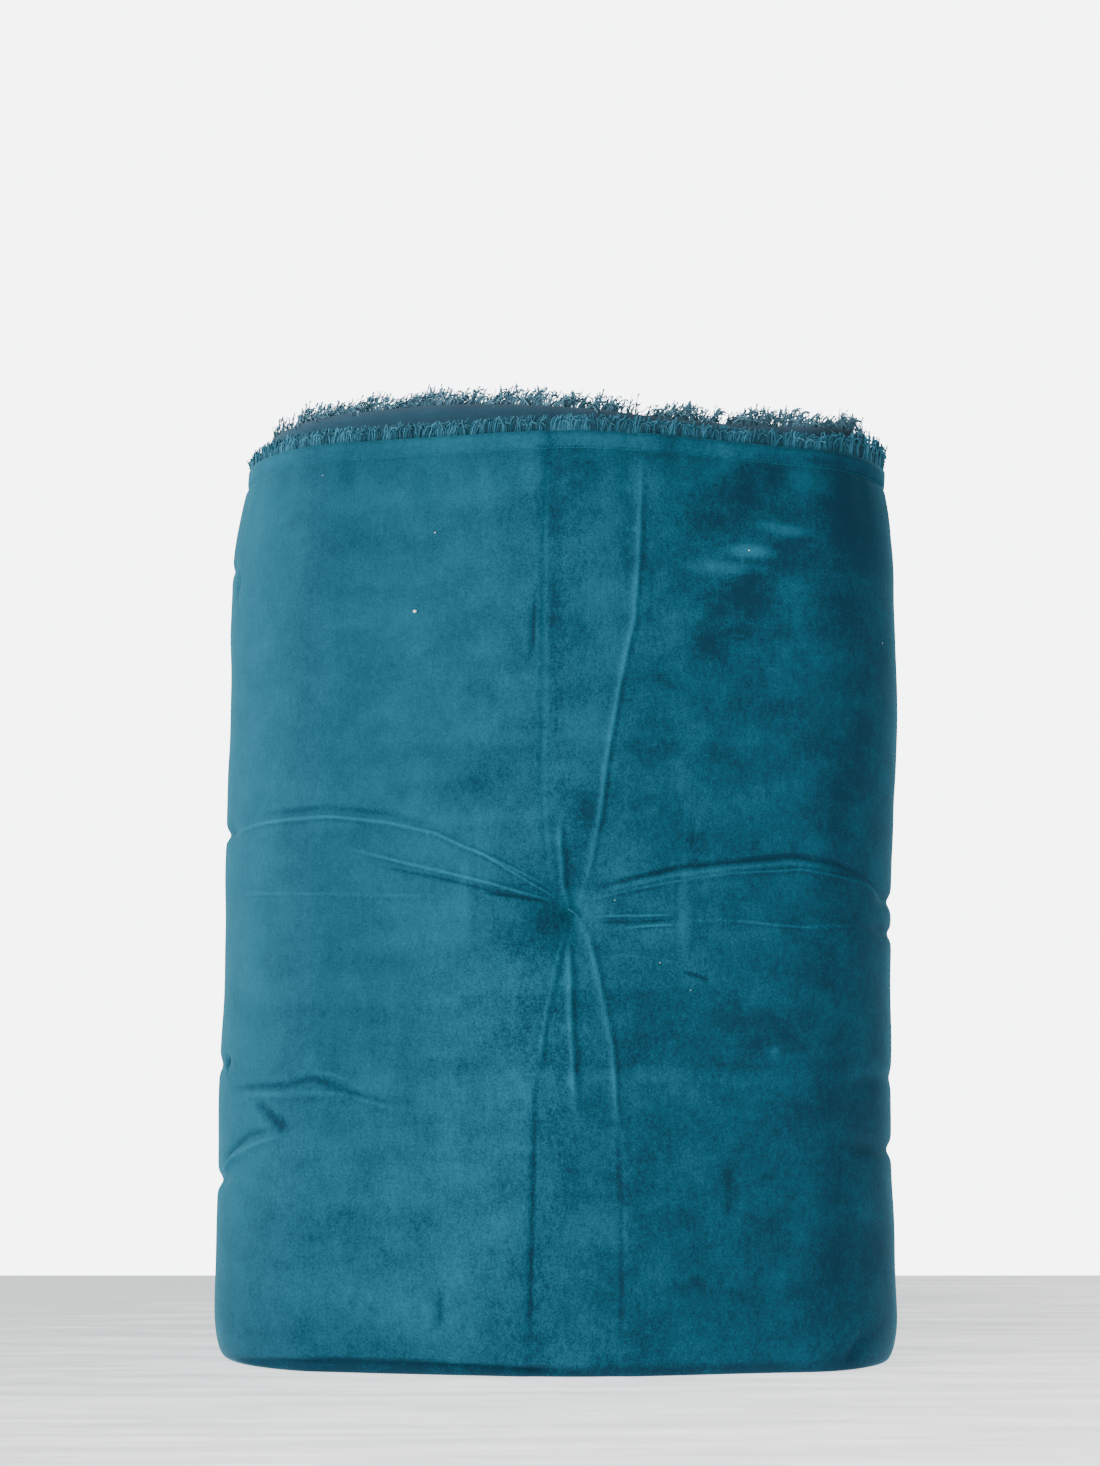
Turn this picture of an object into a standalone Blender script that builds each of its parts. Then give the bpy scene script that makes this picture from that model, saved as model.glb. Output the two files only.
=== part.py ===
"""A fringed velvet bedspread, folded and standing on end.

The quilt is folded once along its length, so its fold is the bottom and its two long
edges are the top. The doubled strip is then wound flat: five layers deep at the middle,
with the free end on the back. Metres, +Z up, the front faces -Y, the origin is under the
middle of the base.
"""

import math

import bmesh
import bpy
from mathutils import Vector

# The flat winding, seen from above.
PITCH = 0.038           # from one layer's middle line to the next, at the side folds
HALF_PANEL = 0.177      # half of a panel's straight run
FLAP = 0.31             # how far the free end reaches along the back
PANELS = 5
FRONT = 3               # the panel that shows in front
TURN_STEPS = 6
X_SHIFT = 0.0095        # brings the winding's box over the origin
Y_SHIFT = 0.0135

# The cross-section of a layer: two leaves joined by the fold at the bottom.
LAYER_GAP = 0.002
LEAF_SPACE = 0.0006     # from the layer's middle to the cotton
COTTON = 0.0012
CLEARANCE = 0.0003
INSIDE = LEAF_SPACE + COTTON + CLEARANCE
OUTSIDE = (PITCH - LAYER_GAP) / 2
HEM = 0.014             # the sewn edge without wadding
HEM_THICK = 0.004
HEM_OUTSIDE = 0.0075    # how far the velvet draws in at the hem
HEM_BLEND = 0.070
HEM_SHOULDER = 0.030    # below the hem, where the loft has mostly come back
END_HEM = 0.018         # the hem across the strip's two short ends
FOLD_BOTTOM = 0.024     # cloth and wadding under the inner fold

# Heights of the two long edges.
FRONT_EDGE = 0.7025
FRONT_FALL = (0.004, 0.0105)    # how far the front edge falls to the left and right
FRONT_FALL_REACH = 0.14
BACK_EDGE = 0.722
BACK_RISE = (-0.10, 0.11, 0.010)    # where the back edge rises, over how much, how far
BACK_DIP = (0.14, 0.09, 0.006)

# The stack bulges in the middle and widens a little upwards.
HALF_WIDTH = 0.263
BULGE = 0.30
BULGE_ROUNDING = 0.01
FRONT_BULGE = 0.015
TOP_WIDER = 0.0268      # part by which the upper half is wider than the lower
LOWER_SHIFT = -0.00695
UPPER_SHIFT = 0.00005
WIDENING = (0.15, 0.40) # height where the stack starts to widen, and over how much
TOP_LEAN = 0.0045       # how far the top edge leans to the right
LEANING = (0.56, 0.16)

# The tuft in the middle of the front, and the valley that runs through it.
TUFT_X = 0.0114
TUFT_Z = 0.333
TUFT_DEPTH = 0.011
TUFT_REACH = 0.034
VALLEY_DEPTH = 0.004
VALLEY_REACH = 0.016
VALLEY_HALF = 0.15      # how far from the tuft the valley has climbed
LEFT_RISE = 0.070
RIGHT_RISE = 0.042
SIDE_SHARE = 0.6        # how much of the front's shape goes round the side folds
NOTCH_DEPTH = 0.006
NOTCH_REACH = 0.018
LEFT_NOTCHES = (0.402, 0.134)
RIGHT_NOTCHES = (0.332, 0.156)

# The fringe: short bent yarns that lock into clumps.
FRINGE_THICK = 0.0024
FRINGE_LOW = 0.004
CLUMP_STEP = 0.0145
CLUMP_VARIES = 0.25     # part of the fringe's length
CLUMP_RHYTHM = (2.4, 0.37)
FRONT_FRINGE = 0.014
BACK_FRINGE = 0.019

FACE_HEIGHTS = (0.54, 0.45, 0.402, 0.366, 0.333, 0.28, 0.20, 0.145, 0.08, 0.035)
INNER_HEIGHTS = (0.47, 0.27)
FOOT = ((0.012, 0.0035), (0.0, 0.009))     # height, and how far the fold has curved in
FOOT_NARROWEST = 0.4    # part of the layer's thickness left at the free ends' foot


class Station:
    """A place along the strip: its middle point in plan, its outward normal."""

    def __init__(self, x, y, normal, panel, full=True):
        self.x = x
        self.y = y
        self.normal = normal
        self.panel = panel
        self.full = full


def clear_scene():
    for item in list(bpy.data.objects):
        bpy.data.objects.remove(item, do_unlink=True)


def bell(distance, reach):
    return math.exp(-((distance / reach) ** 2))


def panel_offset(panel):
    side = 1 if panel % 2 == 0 else -1
    return side * PITCH * ((panel + 1) // 2)


def panel_places(panel):
    """Plan positions along a panel, closer together where it shows in front."""
    if panel == FRONT:
        half = (0.015, 0.035, 0.065, 0.10, 0.14, HALF_PANEL)
    else:
        half = (0.035, 0.10, HALF_PANEL)
    places = [-x for x in reversed(half)] + [0.0] + list(half)
    if panel == PANELS - 1:
        end = FLAP - HALF_PANEL
        places = [x for x in places if x < end - END_HEM] + [end - END_HEM, end]
    if panel == 0:
        places.insert(1, places[0] + END_HEM)
    return places if panel % 2 == 0 else places[::-1]


def wind_strip():
    """Stations of the whole strip, from the free end in the middle to the one outside."""
    stations = []
    for panel in range(PANELS):
        y = panel_offset(panel)
        side = 1 if panel % 2 == 0 else -1
        for x in panel_places(panel):
            stations.append(Station(x, y, (0.0, side), panel))
        if panel == PANELS - 1:
            break
        following = panel_offset(panel + 1)
        middle = (y + following) / 2
        radius = abs(y - following) / 2
        for step in range(1, TURN_STEPS):
            angle = math.pi * step / TURN_STEPS
            out = (side * math.sin(angle), side * math.cos(angle))
            x = side * HALF_PANEL + out[0] * radius
            owner = panel if step < TURN_STEPS / 2 else panel + 1
            stations.append(Station(x, middle + out[1] * radius, out, owner))
    stations[0].full = False
    stations[-1].full = False
    return stations


def front_edge(x):
    fall = FRONT_FALL[0] if x < 0 else FRONT_FALL[1]
    return FRONT_EDGE - fall * (1 - bell(x, FRONT_FALL_REACH))


def back_edge(x):
    (rise_x, rise_reach, rise), (dip_x, dip_reach, dip) = BACK_RISE, BACK_DIP
    return BACK_EDGE + rise * bell(x - rise_x, rise_reach) - dip * bell(x - dip_x, dip_reach)


def in_front(station):
    """How much of the front's shape a station takes: 1 in front, less round the sides."""
    if station.panel == FRONT:
        return 1.0
    turns = station.panel in (FRONT - 1, FRONT + 1) and abs(station.x) > HALF_PANEL
    return SIDE_SHARE if turns else 0.0


def dent(station, z):
    """How far the velvet is drawn in by the tuft, its valley and the notches."""
    share = in_front(station)
    x = station.x + X_SHIFT
    from_tuft = x - TUFT_X
    rise = LEFT_RISE if from_tuft < 0 else RIGHT_RISE
    valley_z = TUFT_Z + rise * (1 - bell(from_tuft, VALLEY_HALF))
    depth = VALLEY_DEPTH * bell(z - valley_z, VALLEY_REACH)
    depth += TUFT_DEPTH * bell(math.hypot(from_tuft, z - TUFT_Z), TUFT_REACH)
    if abs(station.x) > HALF_PANEL:
        notches = LEFT_NOTCHES if x < 0 else RIGHT_NOTCHES
        around = abs(station.normal[0])
        depth += around * sum(NOTCH_DEPTH * bell(z - height, NOTCH_REACH) for height in notches)
    return share * depth


def place(station, n, z):
    """World point at n outward from the strip's middle and at height z."""
    x = station.x + station.normal[0] * n
    y = station.y + station.normal[1] * n
    middle = 1 - math.sqrt((x / HALF_WIDTH) ** 2 + BULGE_ROUNDING)
    y = y * (1 + BULGE * middle) - FRONT_BULGE * middle
    upper = min(max((z - WIDENING[0]) / WIDENING[1], 0.0), 1.0)
    upper = upper * upper * (3 - 2 * upper)
    x *= 1 + TOP_WIDER * upper
    x += X_SHIFT + LOWER_SHIFT + (UPPER_SHIFT - LOWER_SHIFT) * upper
    x += TOP_LEAN * min(max((z - LEANING[0]) / LEANING[1], 0.0), 1.0) ** 2
    return Vector((x, y + Y_SHIFT, z))


def hem_share(z, edge):
    """1 in the flat hem, falling to 0 where the wadding is full."""
    below = (edge - HEM - z) / HEM_BLEND
    return (1 - min(max(below, 0.0), 1.0)) ** 2


def cotton_n(z, edge):
    """Where the wadding ends on the cotton's side."""
    hem = OUTSIDE - HEM_OUTSIDE - HEM_THICK
    return INSIDE + (hem - INSIDE) * hem_share(z, edge)


def velvet_n(station, z, edge):
    """The velvet's side: the full loft, drawn in at the hem and at the strip's two ends."""
    if not station.full:
        return cotton_n(z, edge) + HEM_THICK
    return OUTSIDE - HEM_OUTSIDE * hem_share(z, edge)


def edge_heights(edge):
    return (edge, edge - HEM, edge - HEM - HEM_SHOULDER, edge - HEM - HEM_BLEND)


def inner_heights(edge):
    """Heights at which the cotton's side is modelled, from the edge down."""
    top = edge_heights(edge)
    return top[:2] + top[3:] + INNER_HEIGHTS


def quilt_section(station):
    """The filled U of one station, as points around its outline."""
    front = front_edge(station.x)
    back = back_edge(station.x)
    points = []
    for z in edge_heights(front) + FACE_HEIGHTS:
        points.append((velvet_n(station, z, front) - dent(station, z), z))
    base = velvet_n(station, FACE_HEIGHTS[-1], front)
    foot = [(max(base - inward, base * FOOT_NARROWEST), z) for z, inward in FOOT]
    points += foot
    points += [(-n, z) for n, z in reversed(foot)]
    for z in (FACE_HEIGHTS[-1],) + INNER_HEIGHTS[::-1] + edge_heights(back)[::-1]:
        points.append((-velvet_n(station, z, back), z))
    for z in inner_heights(back):
        points.append((-cotton_n(z, back), z))
    points += [(-INSIDE, FOLD_BOTTOM), (INSIDE, FOLD_BOTTOM)]
    for z in inner_heights(front)[::-1]:
        points.append((cotton_n(z, front), z))
    return [place(station, n, z) for n, z in points]


def cotton_section(station):
    """The thin cotton sheet inside the fold."""
    outline = []
    for depth in (CLEARANCE, CLEARANCE + COTTON):
        side = []
        for sign, edge in ((-1, back_edge(station.x)), (1, front_edge(station.x))):
            leaf = [(sign * (cotton_n(z, edge) - depth), z) for z in inner_heights(edge)]
            leaf.append((sign * (INSIDE - depth), FOLD_BOTTOM + depth))
            side += leaf if sign == -1 else leaf[::-1]
        outline += side if depth == CLEARANCE else side[::-1]
    return [place(station, n, z) for n, z in outline]


def between(first, second, share):
    return [a.lerp(b, share) for a, b in zip(first, second)]


def fringe_sections(stations, edge_of, sign, length):
    """A comb along one long edge: low between the clumps, high at them."""
    bases = []
    for station in stations:
        edge = edge_of(station.x)
        middle = (velvet_n(station, edge, edge) + cotton_n(edge, edge)) / 2
        half = FRINGE_THICK / 2
        ends = (sign * (middle - half), sign * (middle + half))
        bases.append([place(station, n, edge + CLEARANCE) for n in ends])
    sections = []
    count = 0
    for first, second in zip(bases, bases[1:]):
        steps = max(1, round((second[0] - first[0]).length / CLUMP_STEP))
        for step in range(steps):
            base = between(first, second, step / steps)
            wave = math.sin(CLUMP_RHYTHM[0] * count) * math.cos(CLUMP_RHYTHM[1] * count)
            uneven = CLUMP_VARIES * (1 - wave)
            height = length * (1 - uneven) if count % 2 else FRINGE_LOW
            rise = Vector((0.0, 0.0, height))
            sections.append([base[0], base[1], base[1] + rise, base[0] + rise])
            count += 1
    rise = Vector((0.0, 0.0, FRINGE_LOW))
    last = bases[-1]
    sections.append([last[0], last[1], last[1] + rise, last[0] + rise])
    return sections


def make_material(name, colour, roughness, sheen):
    material = bpy.data.materials.new(name)
    material.use_nodes = True
    shader = material.node_tree.nodes["Principled BSDF"]
    shader.inputs["Base Color"].default_value = (*colour, 1.0)
    shader.inputs["Roughness"].default_value = roughness
    shader.inputs["Metallic"].default_value = 0.0
    shader.inputs["Sheen Weight"].default_value = sheen
    return material


def loft(name, sections, material):
    """One closed body through sections that all have the same number of points."""
    body = bmesh.new()
    rings = [[body.verts.new(point) for point in section] for section in sections]
    count = len(rings[0])
    for ring, following in zip(rings, rings[1:]):
        for i in range(count):
            j = (i + 1) % count
            body.faces.new((ring[i], ring[j], following[j]))
            body.faces.new((ring[i], following[j], following[i]))
    ends = [body.faces.new(rings[0][::-1]), body.faces.new(rings[-1])]
    body.normal_update()
    bmesh.ops.triangulate(body, faces=ends, ngon_method="EAR_CLIP")
    bmesh.ops.recalc_face_normals(body, faces=body.faces[:])
    mesh = bpy.data.meshes.new(name)
    body.to_mesh(mesh)
    body.free()
    mesh.materials.append(material)
    mesh.shade_smooth()
    mesh.set_sharp_from_angle(angle=math.radians(50))
    item = bpy.data.objects.new(name, mesh)
    bpy.context.collection.objects.link(item)
    return item


def main():
    clear_scene()
    velvet = make_material("teal_velvet", (0.012, 0.125, 0.185), 0.8, 0.5)
    cotton = make_material("slate_cotton", (0.030, 0.090, 0.150), 0.9, 0.0)
    yarn = make_material("frayed_yarn", (0.030, 0.130, 0.190), 0.9, 0.1)
    stations = wind_strip()
    loft("quilt", [quilt_section(station) for station in stations], velvet)
    loft("backing", [cotton_section(station) for station in stations], cotton)
    loft("fringe_front", fringe_sections(stations, front_edge, 1, FRONT_FRINGE), yarn)
    loft("fringe_back", fringe_sections(stations, back_edge, -1, BACK_FRINGE), yarn)


main()
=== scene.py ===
"""The finished look of a fringed velvet bedspread that stands folded on end.

The quilt is swept along the same flat winding as its solid, with its hem, tuft, valleys
and creases. Its cotton backing, two frayed fringes, stitching, tie and lint are pieces of
their own. Metres, +Z up, the front faces -Y.
"""

import math

import bmesh
import bpy
import numpy as np
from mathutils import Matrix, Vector, noise

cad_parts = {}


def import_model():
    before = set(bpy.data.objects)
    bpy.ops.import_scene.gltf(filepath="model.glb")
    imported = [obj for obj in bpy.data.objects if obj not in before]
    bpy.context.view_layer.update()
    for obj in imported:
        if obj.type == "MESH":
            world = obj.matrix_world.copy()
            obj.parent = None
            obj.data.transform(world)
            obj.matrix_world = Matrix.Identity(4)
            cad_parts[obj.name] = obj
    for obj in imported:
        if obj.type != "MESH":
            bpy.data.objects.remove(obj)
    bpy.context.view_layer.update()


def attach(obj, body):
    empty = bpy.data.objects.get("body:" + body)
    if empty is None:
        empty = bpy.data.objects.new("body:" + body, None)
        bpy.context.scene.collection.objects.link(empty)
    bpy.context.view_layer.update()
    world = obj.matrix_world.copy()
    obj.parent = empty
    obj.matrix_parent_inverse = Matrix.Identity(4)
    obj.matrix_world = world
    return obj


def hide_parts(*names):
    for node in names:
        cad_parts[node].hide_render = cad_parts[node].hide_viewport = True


# The flat winding, seen from above.
PITCH = 0.038           # from one layer's middle line to the next, at the side folds
HALF_PANEL = 0.177      # half of a panel's straight run
FLAP = 0.31             # how far the free end reaches along the back
PANELS = 5
FRONT = 3               # the panel that shows in front
X_SHIFT = 0.0095        # brings the winding's box over the origin
Y_SHIFT = 0.0135
PANEL_STEPS = (14, 14, 18, None, 36)    # spans along each panel but the front one
TURN_STEPS = (8, 10, 44, 66)            # spans round each side fold
FRONT_SPANS = ((-0.177, 0.0046), (-0.068, 0.0026), (-0.030, 0.0015), (0.040, 0.0018),
               (0.064, 0.0027), (0.104, 0.0048))      # span length from each place on

# The cross-section: two leaves joined by the fold at the bottom.
LAYER_GAP = 0.002
LEAF_SPACE = 0.0006     # from the layer's middle to the cotton
COTTON = 0.0012
CLEARANCE = 0.0003
INSIDE = LEAF_SPACE + COTTON + CLEARANCE
OUTSIDE = (PITCH - LAYER_GAP) / 2
HEM = 0.014             # the sewn edge without wadding
HEM_THICK = 0.004
HEM_OUTSIDE = 0.0075    # how far the velvet draws in at the hem
HEM_BLEND = 0.070
HEM_DENT = (0.0013, 0.0020)         # depth and reach of the dent along the hem's stitches
FOLD_BOTTOM = 0.024     # cloth and wadding under the inner fold
FOOT_HEIGHT = 0.035     # where the foot starts to round
FOOT_INWARD = 0.009
FOOT_NARROWEST = 0.4

# Rows down the leaves.
HEM_ROWS = (0.0, 0.004, 0.009, 0.0115, 0.0135, 0.0155, 0.018, 0.022)
INNER_HEM_ROWS = (0.0, 0.007, HEM)
FACE_STEPS = 198
FACE_TOP = 0.026        # below the edge, where the even rows of the face start
CREASE_FINER = 4.5      # how much closer the rows are along a level crease
CREASE_BAND = 0.0055    # over how much height
CREASE_BEYOND = 0.015   # and how far past the crease's ends
DEPTH_TESTS = 900
INNER_STEPS = 12
COTTON_STEPS = 8
FOOT_STEPS = 16

# Heights of the two long edges.
FRONT_EDGE = 0.7025
FRONT_FALL = (0.004, 0.0105)    # how far the front edge falls to the left and right
FRONT_FALL_REACH = 0.14
BACK_EDGE = 0.722
BACK_RISE = (-0.10, 0.11, 0.010)    # where the back edge rises, over how much, how far
BACK_DIP = (0.14, 0.09, 0.006)

# The stack bulges in the middle and widens a little upwards.
HALF_WIDTH = 0.263
BULGE = 0.30
BULGE_ROUNDING = 0.01
FRONT_BULGE = 0.015
TOP_WIDER = 0.0268      # part by which the upper half is wider than the lower
LOWER_SHIFT = -0.00695
UPPER_SHIFT = 0.00005
WIDENING = (0.15, 0.40) # height where the stack starts to widen, and over how much
TOP_LEAN = 0.0045       # how far the top edge leans to the right
LEANING = (0.56, 0.16)

# The tuft in the middle of the front.
TUFT = (0.0114, 0.333)
TUFT_DEPTH = 0.011
TUFT_REACH = 0.034
KNOT_DEPTH = 0.0025
KNOT_REACH = 0.009

# The loose cloth between the creases: scale, seed and height of its unevenness.
LOOSE = ((9.0, 1, 0.0022), (24.0, 2, 0.0009))
LOOSE_FROM = 0.05       # below the edge, where it is full
# Puckers below the hem: how many to the metre (in radians), where they start, their share.
PUCKERS = ((210, 0.0, 0.5), (337, 1.7, 0.35), (95, 0.4, 0.6))
PUCKER = (0.0006, 0.030, 0.026)     # height, how far below the edge, over how much

# The two fringes, in metres where they are lengths. Lean is how much the strands cross, Sweep
# how much all lean one way, Curl how much the tips wander, Undergrowth how much shorter some
# yarns are, and Corner how much longer they are at the right corner. The key after Strands
# paints the yarns lighter, as painted light on the lit rear fringe.
FRONT_FRINGE = {
    "Spacing": 0.00042, "Length": 0.0155, "Uneven": 0.07, "Lean": 1.1, "Sweep": -0.03,
    "Clumps": 190.0, "Strands": 280.0, "Painted Light": 0.0, "Gaps": 0.10, "Curl": 0.30,
    "Curl Scale": 190.0, "Corner": 1.60, "Rear Share": 0.5, "Yarn": 0.00058,
    "Undergrowth": 0.20, "Seed": 3}
BACK_FRINGE = {
    "Spacing": 0.00025, "Length": 0.0172, "Uneven": 0.17, "Lean": 2.1, "Sweep": -0.46,
    "Clumps": 90.0, "Strands": 300.0, "Painted Light": 0.06, "Gaps": 0.36, "Curl": 0.30,
    "Curl Scale": 420.0, "Corner": 1.0, "Rear Share": 0.3, "Yarn": 0.00046,
    "Undergrowth": 0.50, "Seed": 8}
FRINGE_DROP = 0.001         # how far below the edge the yarns start
REAR_STARTS = -0.035        # the fringes are thinner behind this, where the layers hide them
CORNER = (0.20, 0.25, 0.90) # where the right corner starts and is full, and the length before it
BROAD_SCALE = 42.0          # scale of the bare places and of the sweep
BARE_CHANCE = 0.72
STRAND_CONTRAST = 3.2
JITTER = (0.12, 0.14, 0.5)  # turns of single yarns, in radians

STITCHES = {"Spacing": 0.0030, "Thread": 0.00024}
STITCH_SUNK = 0.0011


# ---------------------------------------------------------------- the winding

def panel_offset(panel):
    side = 1 if panel % 2 == 0 else -1
    return side * PITCH * ((panel + 1) // 2)


def front_places():
    """Places along the front panel, from the right fold to the left one."""
    starts = [start for start, span in FRONT_SPANS] + [HALF_PANEL]
    places = [HALF_PANEL]
    for (start, span), end in list(zip(FRONT_SPANS, starts[1:]))[::-1]:
        count = round((end - start) / span)
        places += list(np.linspace(end, start, count + 1)[1:])
    return np.array(places)


def wind_strip():
    """Arrays along the strip: middle point, outward normal, panel, and place on the face.

    The place on the face runs from the middle of the front, positive to the right, and
    goes on round the side folds.
    """
    rows = []
    for panel in range(PANELS):
        y = panel_offset(panel)
        side = 1 if panel % 2 == 0 else -1
        reach = FLAP - HALF_PANEL if panel == PANELS - 1 else HALF_PANEL
        if panel == FRONT:
            places = front_places()
        else:
            places = side * np.linspace(-HALF_PANEL, reach, PANEL_STEPS[panel] + 1)
        for x in places:
            rows.append((x, y, 0.0, side, panel))
        if panel == PANELS - 1:
            break
        following = panel_offset(panel + 1)
        middle = (y + following) / 2
        radius = abs(y - following) / 2
        steps = TURN_STEPS[panel]
        for step in range(1, steps):
            angle = math.pi * step / steps
            out = (side * math.sin(angle), side * math.cos(angle))
            x = side * HALF_PANEL + out[0] * radius
            rows.append((x, middle + out[1] * radius, *out, panel + step / steps))
    table = np.array(rows)
    places = table[:, :2] + table[:, 2:4] * OUTSIDE
    steps = np.linalg.norm(np.diff(places, axis=0), axis=1)
    run = np.concatenate([[0.0], np.cumsum(steps)])
    front = np.flatnonzero(table[:, 4] == FRONT)
    middle = np.interp(0.0, -table[front, 0], run[front])
    return table, middle + X_SHIFT - run


def bell(distance, reach):
    return np.exp(-((distance / reach) ** 2))


def front_edge(x):
    fall = np.where(x < 0, *FRONT_FALL)
    return FRONT_EDGE - fall * (1 - bell(x, FRONT_FALL_REACH))


def back_edge(x):
    middle, reach, rise = BACK_RISE
    low, low_reach, dip = BACK_DIP
    return BACK_EDGE + rise * bell(x - middle, reach) - dip * bell(x - low, low_reach)


def place(table, n, z):
    """World points at n outward from the strip's middle and at height z."""
    x = table[:, 0:1] + table[:, 2:3] * n
    y = table[:, 1:2] + table[:, 3:4] * n
    middle = 1 - np.sqrt((x / HALF_WIDTH) ** 2 + BULGE_ROUNDING)
    y = y * (1 + BULGE * middle) - FRONT_BULGE * middle
    upper = np.clip((z - WIDENING[0]) / WIDENING[1], 0, 1)
    upper = upper * upper * (3 - 2 * upper)
    x = x * (1 + TOP_WIDER * upper) + X_SHIFT + LOWER_SHIFT + (UPPER_SHIFT - LOWER_SHIFT) * upper
    x = x + TOP_LEAN * np.clip((z - LEANING[0]) / LEANING[1], 0, 1) ** 2
    return np.stack([x, y + Y_SHIFT, z + 0 * x], axis=-1)


def hem_share(z, edge):
    below = (edge - HEM - z) / HEM_BLEND
    return (1 - np.clip(below, 0, 1)) ** 2


def cotton_n(z, edge):
    hem = OUTSIDE - HEM_OUTSIDE - HEM_THICK
    return INSIDE + (hem - INSIDE) * hem_share(z, edge)


def velvet_n(z, edge, fullness):
    """The velvet's side of a leaf; fullness falls to 0 at the strip's two short ends."""
    full = OUTSIDE - HEM_OUTSIDE * hem_share(z, edge)
    thin = cotton_n(z, edge) + HEM_THICK
    return thin + (full - thin) * fullness
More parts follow.
